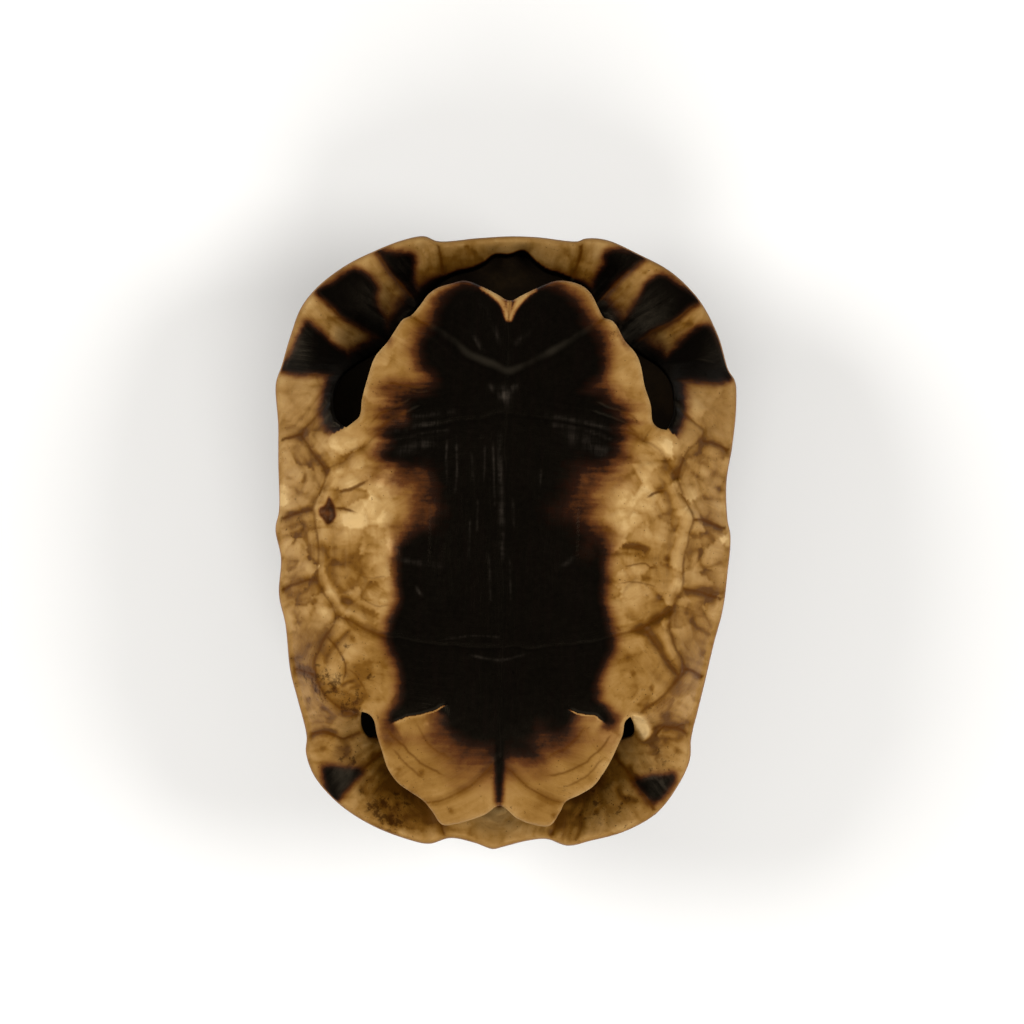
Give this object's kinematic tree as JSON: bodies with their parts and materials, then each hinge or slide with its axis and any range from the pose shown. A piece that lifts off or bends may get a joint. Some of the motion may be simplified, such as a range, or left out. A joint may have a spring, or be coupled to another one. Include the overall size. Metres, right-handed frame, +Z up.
{
  "type": "turtle shell",
  "caption": "Dry hollow tortoise shell lying on its back: domed carapace, flared rim and flat yellow and black plastron, open at the head and tail ends.",
  "frame": {"origin": "centre of the shell's box, at the level of the worn flat on the crown of the dome that it rests on", "axes": "+Y towards the head end, along the shell's length; +Z up, out through the plastron; +X to the right with the head end up, seen from the plastron side"},
  "size_m": [0.1962, 0.261, 0.1097],
  "materials": {
    "horn_and_bone": "satin"
  },
  "bodies": {
    "root": {"shell": "horn_and_bone"}
  },
  "joints": []
}
